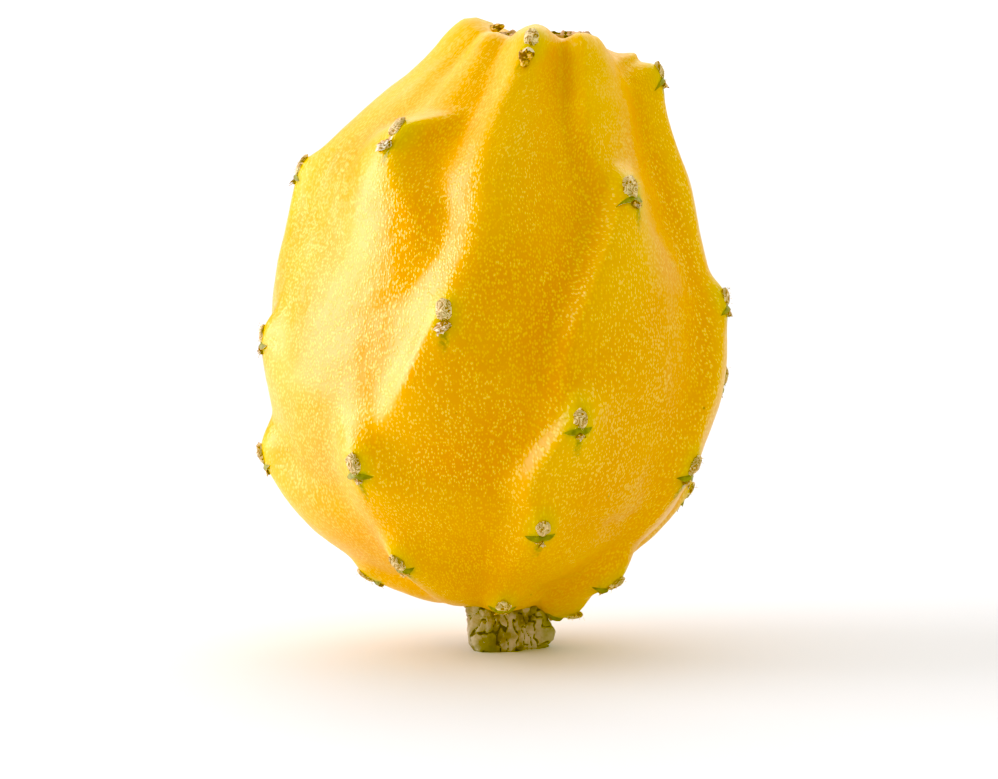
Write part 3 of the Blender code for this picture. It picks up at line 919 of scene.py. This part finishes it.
def wool_material():
    """Pressed wool: cream worms of felt, with brown gaps between them, and painted shade in its folds and
    round its foot.
    """
    n = Nodes("areole_wool")
    swirl = n.node("ShaderNodeTexNoise", {"Vector": n.place, **FELTED}).outputs["Fac"]
    gap = n.ramp(n.math("PINGPONG", n.times(swirl, WOOL_WORMS), 1.0), *WOOL_GAPS)
    colour = n.mix(n.noise(*FLOCKED), WOOL_DULL, WOOL_PALE)
    colour = n.mix(n.times(n.value("worn"), WORN_SHARE), colour, WOOL_WORN)
    colour = n.mix(n.times(gap, GAP_SHARE), colour, WOOL_GAP)
    # Painted shade in the cushion's folds and round its foot
    colour = n.mix(n.ramp(n.value("crevice"), *WOOL_SHADE), colour, WOOL_CREVICE_SHADE)
    normal = n.bump(n.math("SUBTRACT", 1.0, gap), *WOOL_BUMP)
    return n.finish(colour, WOOL_ROUGHNESS, normal, **WOOL_FINISH)


def scale_material():
    """Dark olive scale, with a thin, pale, dried lower edge."""
    n = Nodes("areole_scale")
    mottle = n.noise(*MEALY)
    colour = n.mix(n.ramp(mottle, *EVEN_MOTTLE), SCALE_DARK, SCALE_GREEN)
    edge = n.times(n.value("edge"), n.patches(*FRAYED))
    colour = n.mix(n.ramp(edge, *BROWN_EDGE), colour, SCALE_BROWN)
    colour = n.mix(n.ramp(edge, *PALE_EDGE), colour, SCALE_PALE)
    return n.finish(colour, SCALE_ROUGHNESS, n.bump(mottle, *SCALE_BUMP), **SCALE_FINISH)


def dried_material():
    """The shrivelled end of a scale: red-brown with pale torn edges, or gold with dark streaks."""
    n = Nodes("dried_scrap")
    colour = n.mix(n.patches(*SHRIVELLED), SCRAP_BROWN, SCRAP_TAN)
    colour = n.mix(n.ramp(n.value("torn"), *TORN_PALE), colour, SCRAP_TORN)
    streaks = n.patches(*STREAKY, vector=n.scaled(n.place, SCRAP_STRETCH))
    streaked = n.mix(streaks, SCRAP_STREAK, SCRAP_GOLD)
    colour = n.mix(n.times(n.value("dark"), GOLD_SHARE), colour, streaked)
    return n.finish(colour, SCRAP_ROUGHNESS, n.bump(n.noise(*FIBROUS), *SCRAP_BUMP))


def stem_material():
    """Corky stem: grey-brown, with brown cracks and a little live green on its ribs."""
    n = Nodes("woody_stem")
    colour = n.mix(n.patches(*BARKY), CORK_DARK, CORK_LIGHT)
    colour = n.mix(n.ramp(n.value("rib"), *GREEN_RIBS), colour, CORK_GREEN)
    colour = n.mix(n.ramp(n.value("crevice"), *IN_CRACK), colour, CORK_CRACK)
    colour = n.mix(n.patches(*FLECKED), colour, CORK_FLECK)
    return n.finish(colour, STEM_ROUGHNESS, n.bump(n.noise(*GRITTY), *CORK_BUMP))


def scar_material():
    """Dried flower scar: brown cork, with dark cracks."""
    n = Nodes("dried_flower_scar")
    colour = n.mix(n.patches(*CORKY), SCAR_DARK, SCAR_LIGHT)
    colour = n.mix(n.ramp(n.value("crevice"), *IN_CRACK), colour, SCAR_CRACK)
    return n.finish(colour, SCAR_ROUGHNESS, n.bump(n.noise(*POROUS), *SCAR_BUMP))


def areole_neighbourhoods(azimuth, arc, stand):
    """Millimetres from the nearest areole, how clearly it is the nearest, and if its scale is green."""
    places = np.full((len(azimuth), 3), FAR)
    nearest = np.full(len(azimuth), FAR)
    second = np.full(len(azimuth), FAR)
    leafy = np.zeros(len(azimuth))
    for number in WOOLLY:
        across, below = local_place(number, azimuth, arc, stand)
        away = np.hypot(across, below)
        closer = away < nearest
        second = np.where(closer, nearest, np.minimum(second, away))
        nearest[closer] = away[closer]
        leafy[closer] = number not in SCALELESS + DRIED_SCALES
        places[closer] = np.stack([across, below, np.zeros_like(away)], -1)[closer]
    return places / MM, smooth((second - nearest - BORDER) / BORDER), leafy


def make_skin():
    """The fruit's skin in fine faces, with the numbers that its material reads."""
    bm = bmesh.new()
    bmesh.ops.create_uvsphere(bm, u_segments=SKIN_SEGMENTS, v_segments=SKIN_RINGS, radius=1.0)
    sphere = np.array([v.co for v in bm.verts])
    azimuth = np.arctan2(sphere[:, 0], -sphere[:, 1])
    arc = ARCS[-1] * (1 - np.arccos(np.clip(sphere[:, 2], -1, 1)) / math.pi)
    broad = relief(azimuth, arc)
    for vertex, place in zip(bm.verts, lay_on_body(azimuth, arc, broad + fine_relief(azimuth, arc))):
        vertex.co = place
    skin = new_piece("skin", bm, skin_material(), ["fruit"])
    places, near, leafy = areole_neighbourhoods(azimuth, arc, broad)
    # Where the material paints shade into the valleys and light onto the crests
    store(skin.data, "valley", smooth((VALLEY_UNDER - broad) / VALLEY_UNDER))
    store(skin.data, "crest", rise(broad, *CREST_RISE))
    store(skin.data, "near", near)
    store(skin.data, "leafy", near * leafy)
    store(skin.data, "areole_place", places)
    store(skin.data, "ring_place", on_ring(azimuth, SPECK_RING, arc))


def crumpled(bm, matrix, half, segments, rings, depth, grain, seed, underside, narrowing=0.0):
    """Adds a crumpled blob to a bmesh, and returns its vertices' (depth in a crevice, height, share up)."""
    made = bmesh.ops.create_uvsphere(bm, u_segments=segments, v_segments=rings, radius=1.0)["verts"]
    crevices = []
    shift = Vector([seed * part for part in CRUMPLE_WAY])
    for vertex in made:
        direction = vertex.co.copy()
        swirl = Vector(map(float, noise.noise_vector(direction * SWIRL_GRAIN + shift)))
        fold = abs(noise.noise((direction + SWIRL * swirl) * grain + shift))
        crevice = max(0.0, 1 - FOLD_NARROWNESS * fold)
        crevices.append((crevice, max(0.0, direction.z), max(0.0, direction.y)))
        bulge = 1 + UNEVENNESS * noise.noise(direction * UNEVEN_GRAIN + shift) - depth * crevice
        wide = half.x * (1 + narrowing * direction.y)
        place = Vector((direction.x * wide, direction.y * half.y, direction.z * half.z)) * bulge
        place.z = max(place.z, -underside)
        vertex.co = matrix @ place
    return crevices


def make_cushions():
    """The woolly cushion of every areole, in one piece."""
    bm = bmesh.new()
    crevices = []
    worn = []
    for number in WOOLLY:
        rng = random.Random(CUSHION_DRAWS + number)
        size = CUSHION_SIZES.get(number, rng.uniform(*USUAL_CUSHION))
        swing = Matrix.Rotation(rng.uniform(-CUSHION_SWING, CUSHION_SWING), 4, "Z")
        matrix = areole_frame(number) @ swing @ Matrix.Translation((0, 0, -CUSHION_SINK))
        made = crumpled(bm, matrix, CUSHION_HALF * size, CUSHION_SEGMENTS, CUSHION_RINGS, CUSHION_DEPTH,
                        CUSHION_GRAIN, number + CUSHION_SEED, CUSHION_UNDERSIDE)
        heights = np.array([height for _, height, _ in made])
        # Painted shade, darker in the folds of the blob and round its foot
        foot = FOOT_SHADE * rise(heights, *FOOT_RISE)
        crevices.append(np.maximum([crevice for crevice, _, _ in made], foot))
        wear = 1.0 if number in WORN else rng.uniform(*USUAL_WEAR)
        worn.append(wear * rise(heights, *WEAR_RISE))
    piece = new_piece("areole_cushions", bm, wool_material())
    store(piece.data, "crevice", np.concatenate(crevices))
    store(piece.data, "worn", np.concatenate(worn))


def join_rings(bm, rings):
    """Faces between one ring of vertices and the next, and over both ends."""
    for first, second in zip(rings, rings[1:]):
        for i in range(len(first)):
            j = (i + 1) % len(first)
            bm.faces.new((first[i], first[j], second[j], second[i]))
    bm.faces.new(rings[0])
    bm.faces.new(rings[-1])


def close_rows(bm, rows):
    """Faces round a tube of rows of points that run along it, and over its two ends."""
    grid = [[bm.verts.new(point) for point in row] for row in rows]
    join_rings(bm, list(zip(*grid)))


def make_scales():
    """The scale under every cushion: a low, pointed crescent that stands off the skin at its lower edge."""
    bm = bmesh.new()
    edges = []
    u = np.linspace(-1, 1, SCALE_STATIONS)
    body = 1 - np.abs(u)**SCALE_FULLNESS
    for number in WOOLLY:
        if number in SCALELESS:
            continue
        rng = random.Random(SCALE_DRAWS + number)
        half = rng.uniform(*SCALE_SPREAD) * SCALE_HALF_WIDTH * SCALE_WIDTHS.get(number, 1.0)
        aside, _ = SHIFTED.get(number, (0, 0))
        corner = np.where(u < 0, rng.uniform(*LEFT_CORNER), rng.uniform(*RIGHT_CORNER)) * MM
        waves = [noise.noise(Vector((WAVE_GRAIN * x, number * WAVE_SEED, WAVE_SLICE))) for x in u]
        notch_place = rng.uniform(-NOTCH_ASIDE, NOTCH_ASIDE)
        notch = NOTCH_DEPTH * np.exp(-((u - notch_place) / NOTCH_WIDTH)**2)
        top = corner + (SCALE_TOP - corner) * body
        foot = corner + (SCALE_FOOT - corner + np.array(waves) * WAVE_HEIGHT - notch) * body
        rows = []
        for down, share, more, edge in SCALE_ROWS:
            out = SCALE_OUT * body**SCALE_BULGE * share + more * MM
            rows.append(on_skin(number, u * half + aside * MM, top + (foot - top) * down, out))
            edges += [1.0 if number in DRIED_SCALES else edge] * SCALE_STATIONS
        close_rows(bm, rows)
    piece = new_piece("areole_scales", bm, scale_material())
    store(piece.data, "edge", edges)


def add_flake(bm, here, root, turn, length, width, curl):
    """Adds a thin, curled, torn flake to a bmesh, and returns how pale each of its vertices is."""
    way = Vector((math.sin(turn), -math.cos(turn), 0.0))
    side = Vector((math.cos(turn), math.sin(turn), 0.0))
    rows = [[], [], [], []]
    shares = [k / (FLAKE_STATIONS - 1) for k in range(FLAKE_STATIONS)]
    for t in shares:
        lift = Vector((0, 0, curl * length * (t**FLAKE_CURL_POWER - FLAKE_DIP)))
        centre = root + way * (length * math.sin(t * FLAKE_BEND)) + lift
        rag = noise.noise(Vector((FLAKE_RAGS * t, root.x / FLAKE_ROOT_GRAIN, turn)))
        half = side * (width * (1 - FLAKE_TAPER * t) * (1 + FLAKE_RAGGED * rag))
        thick = Vector((0, 0, FLAKE_THICKNESS * (1 - FLAKE_THINNING * t)))
        corners = (centre - half, centre + half, centre + half + thick, centre - half + thick)
        for row, point in zip(rows, corners):
            row.append(here @ point)
    close_rows(bm, rows)
    return [FLAKE_PALE_ROOT + (1 - FLAKE_PALE_ROOT) * t for t in shares] * len(rows)


def random_vector(rng, *ranges):
    """A vector with each part drawn from its range."""
    return Vector([rng.uniform(*limits) for limits in ranges])


def make_scraps():
    """The shrivelled scrap and its torn flakes in the notch of every scale."""
    bm = bmesh.new()
    torn = []
    darks = []
    for number in WOOLLY:
        rng = random.Random(SCRAP_DRAWS + number)
        usual = (rng.uniform(*USUAL_SCRAP), 1.0, rng.uniform(*USUAL_ASIDE), 0.0,
                 rng.uniform(*USUAL_DARK), 0.0)
        size, long, aside, down, dark, narrowing = SCRAPS.get(number, usual)
        half = Vector((SCRAP_HALF.x, SCRAP_HALF.y * long, SCRAP_HALF.z)) * size
        here = frame_near(number, aside)
        here.translation = Vector(on_skin(number, aside * MM, SCRAP_BELOW + down * MM, SCRAP_OUT)[0])
        here = here @ Matrix.Rotation(rng.uniform(-SCRAP_SWING, SCRAP_SWING), 4, "Z")
        made = crumpled(bm, here, half, SCRAP_SEGMENTS, SCRAP_RINGS, SCRAP_DEPTH, SCRAP_GRAIN,
                        number + SCRAP_SEED, SCRAP_UNDERSIDE, narrowing)
        torn += [TORN_AT_FOOT - crevice - TORN_FALL * up for crevice, _, up in made]
        unit = MM * size
        for _ in range(rng.randint(*FLAKE_COUNT)):
            root = random_vector(rng, FLAKE_ASIDE, FLAKE_UP, FLAKE_OUT) * unit
            torn += add_flake(bm, here, root, rng.uniform(*FLAKE_TURN), rng.uniform(*FLAKE_LENGTH) * unit,
                              rng.uniform(*FLAKE_WIDTH) * unit, rng.uniform(*FLAKE_CURL))
        darks += [dark] * (len(torn) - len(darks))
    piece = new_piece("dried_scraps", bm, dried_material())
    store(piece.data, "torn", torn)
    store(piece.data, "dark", darks)


def add_hair(bm, here, root, lean, length, radius, bend):
    """Adds a bent, tapering hair to a bmesh."""
    side = lean.orthogonal().normalized() * radius
    other = lean.cross(side)
    turns = [math.tau * k / HAIR_SIDES for k in range(HAIR_SIDES)]
    ring = [side * math.cos(turn) + other * math.sin(turn) for turn in turns]
    halfway = root + 0.5 * lean * length + HAIR_BEND_HALFWAY * bend
    low = [bm.verts.new(here @ (root + corner)) for corner in ring]
    mid = [bm.verts.new(here @ (halfway + HAIR_TAPER * corner)) for corner in ring]
    tip = bm.verts.new(here @ (root + lean * length + bend))
    for i in range(HAIR_SIDES):
        j = (i + 1) % HAIR_SIDES
        bm.faces.new((low[i], low[j], mid[j], mid[i]))
        bm.faces.new((mid[i], mid[j], tip))
    bm.faces.new(low[::-1])


def make_hairs():
    """Short woolly hairs round the edge of every cushion."""
    bm = bmesh.new()
    for number in WOOLLY:
        rng = random.Random(HAIR_DRAWS + number)
        here = areole_frame(number)
        for _ in range(HAIRS_PER_AREOLE):
            turn = rng.uniform(0, math.tau)
            out = rng.uniform(*HAIR_ROOTS)
            height = HAIR_SUNK * math.sqrt(1 - out * out)
            root = Vector((CUSHION_HALF.x * out * math.cos(turn), CUSHION_HALF.y * out * math.sin(turn),
                           CUSHION_HALF.z * height))
            sideways = math.sin(turn) * HAIR_SPREAD - HAIR_DROOP
            lean = Vector((math.cos(turn), sideways, rng.uniform(*HAIR_RISE)))
            length = rng.uniform(*HAIR_LENGTH) * MM
            radius = rng.uniform(*HAIR_RADIUS) * MM
            bend = Vector((rng.uniform(-1, 1), rng.uniform(-1, 1), 0)) * HAIR_BEND * length
            add_hair(bm, here, root, lean.normalized(), length, radius, bend)
    piece = new_piece("areole_hairs", bm, wool_material())
    for name in ("crevice", "worn"):
        store(piece.data, name, np.zeros(len(piece.data.vertices)))


def crack_at(place, narrowness):
    """How deep in a crack a place lies, from 0 to 1, by a noise of two octaves."""
    return max(0.0, 1 - narrowness * abs(fractal(place)))


def make_stub():
    """The stem stub: three ribs, knots and corky cracks, on a flat cut end."""
    bm = bmesh.new()
    outline = np.array(STUB_OUTLINE) * MM
    rings, crevices, ribs = [], [], []
    for height in np.linspace(0, outline[-1, 1], STUB_LEVELS):
        radius = float(np.interp(height, outline[:, 1], outline[:, 0]))
        relieved = 0 < height < outline[-1, 1]
        ring = []
        for index in range(STUB_SIDES):
            angle = math.tau * index / STUB_SIDES - math.pi
            turned = angle + STUB_TWIST * height / STUB_TWIST_HEIGHT
            rib = math.cos(STUB_RIBS * turned)
            knot = math.sin(STUB_KNOTS * turned + STUB_KNOT_TURN)
            place = Vector((math.cos(angle), math.sin(angle), height / CORK_HEIGHT))
            coarse = fractal(place * CORK_GRAIN + CORK_SEED, CORK_OCTAVES, CORK_FADING)
            crack = crack_at(place * CORK_CRACK_GRAIN + CORK_CRACK_SEED, CORK_CRACK_NARROWNESS)
            reach = radius * (1 + STUB_RIB_SHARE * rib + STUB_KNOT_SHARE * knot)
            if relieved:
                reach += CORK_RELIEF * coarse - CORK_CRACK_DEPTH * crack
            ring.append(bm.verts.new((reach * math.cos(angle), reach * math.sin(angle), height)))
            crevices.append(crack)
            ribs.append(0.5 + 0.5 * rib)
        rings.append(ring)
    join_rings(bm, rings)
    piece = new_piece("stem_stub_cork", bm, stem_material(), ["stem_stub"])
    store(piece.data, "crevice", crevices)
    store(piece.data, "rib", ribs)


def make_scar():
    """The flower scar: a dished disc with torn rings and radial cracks."""
    bm = bmesh.new()
    steps = np.concatenate([[0], np.cumsum(np.linalg.norm(np.diff(SCAR_OUTLINE, axis=0), axis=1))])
    even = np.linspace(0, steps[-1], SCAR_LEVELS)[1:-1]
    profile = np.stack([np.interp(even, steps, SCAR_OUTLINE[:, k]) for k in (0, 1)], 1)
    crevices = []
    rings = []
    for radius, height in profile:
        top = float(rise(height, *SCAR_TOP))
        ring = []
        for index in range(SCAR_SIDES):
            angle = math.tau * index / SCAR_SIDES
            way = Vector((math.cos(angle), math.sin(angle), 0))
            place = (way * radius + Vector((0, 0, height))) / MM
            spoke = noise.noise(way * SCAR_SPOKES + Vector((0, 0, radius / SCAR_SPOKE_LENGTH)))
            crack = max(0.0, 1 - SCAR_CRACK_NARROWNESS * abs(spoke))
            coarse = fractal(place * SCAR_GRAIN, SCAR_OCTAVES)
            lift = (SCAR_RELIEF * coarse - SCAR_CRACK_DEPTH * crack) * top
            reach = radius * (1 + SCAR_WAVER * top * noise.noise(place * SCAR_WAVER_GRAIN))
            ring.append(bm.verts.new(way * reach + Vector((SCAR_CENTRE, 0, height + lift))))
            crevices.append(crack)
        rings.append(ring)
    join_rings(bm, rings)
    piece = new_piece("flower_scar_disc", bm, scar_material(), ["flower_scar"])
    store(piece.data, "crevice", crevices)


def make_camera():
    """The camera, at the photograph's place."""
    data = bpy.data.cameras.new("camera")
    data.lens = LENS_MM
    data.sensor_width = SENSOR_MM
    data.clip_start = NEAREST
    data.clip_end = FURTHEST
    camera = add_object("camera", data)
    camera.location = CAMERA_PLACE
    camera.rotation_euler = (math.pi / 2 - CAMERA_PITCH, 0, 0)
    bpy.context.scene.camera = camera


def make_floor():
    """A plain pale floor."""
    bm = bmesh.new()
    bmesh.ops.create_grid(bm, x_segments=FLOOR_CELLS, y_segments=FLOOR_CELLS, size=FLOOR_HALF)
    n = Nodes("floor")
    shade = n.mix(n.noise(*FLOOR_GRAIN), FLOOR_DARK, FLOOR_LIGHT)
    surface = n.finish(shade, FLOOR_ROUGHNESS, Specular_IOR_Level=FLOOR_SPECULAR)
    floor = add_mesh("floor", bm, surface)


def make_light(name, kind, place, target, energy, colour, **settings):
    """A light that looks at a target."""
    data = bpy.data.lights.new(name, kind)
    data.energy = energy
    data.color = colour
    for key, value in settings.items():
        setattr(data, key, value)
    light = add_object(name, data)
    light.location = place
    aim = Vector(target) - Vector(place)
    light.rotation_euler = aim.to_track_quat("-Z", "Y").to_euler()


def make_world():
    """A studio that is bright above, behind and at the right, and dim on the camera's side."""
    n = Nodes("studio", "worlds")
    total = 0.0
    for direction, low, high, strength in STUDIO_LIGHT:
        facing = n.node("ShaderNodeVectorMath", operation="DOT_PRODUCT")
        n.feed(facing.inputs[0], n.coordinates["Generated"])
        n.feed(facing.inputs[1], Vector(direction).normalized())
        total = n.math("ADD", total, n.ramp(facing.outputs["Value"], low, high, 0.0, strength))
    background = n.tree.nodes["Background"].inputs
    n.feed(background["Strength"], total)
    n.feed(background["Color"], STUDIO_COLOUR)
    bpy.context.scene.world = n.made


def make_lights():
    """The panels and the studio, and a view curve that takes the faintest blue away."""
    make_light("panel", "AREA", PANEL_PLACE, PANEL_AIM, PANEL_WATTS, PANEL_COLOUR,
               shape="RECTANGLE", size=PANEL_WIDTH, size_y=PANEL_HEIGHT)
    make_light("backdrop", "AREA", BACK_PLACE, BACK_AIM, BACK_WATTS, BACK_COLOUR,
               shape="SQUARE", size=BACK_SIZE)
    make_world()
    view = bpy.context.scene.view_settings
    view.view_transform = "Standard"
    view.use_curve_mapping = True
    view.curve_mapping.curves[2].points[0].location = (BLUE_TOE, 0.0)
    view.curve_mapping.update()


make_camera()
make_lights()
make_floor()
make_skin()
make_cushions()
make_scales()
make_scraps()
make_hairs()
make_stub()
make_scar()
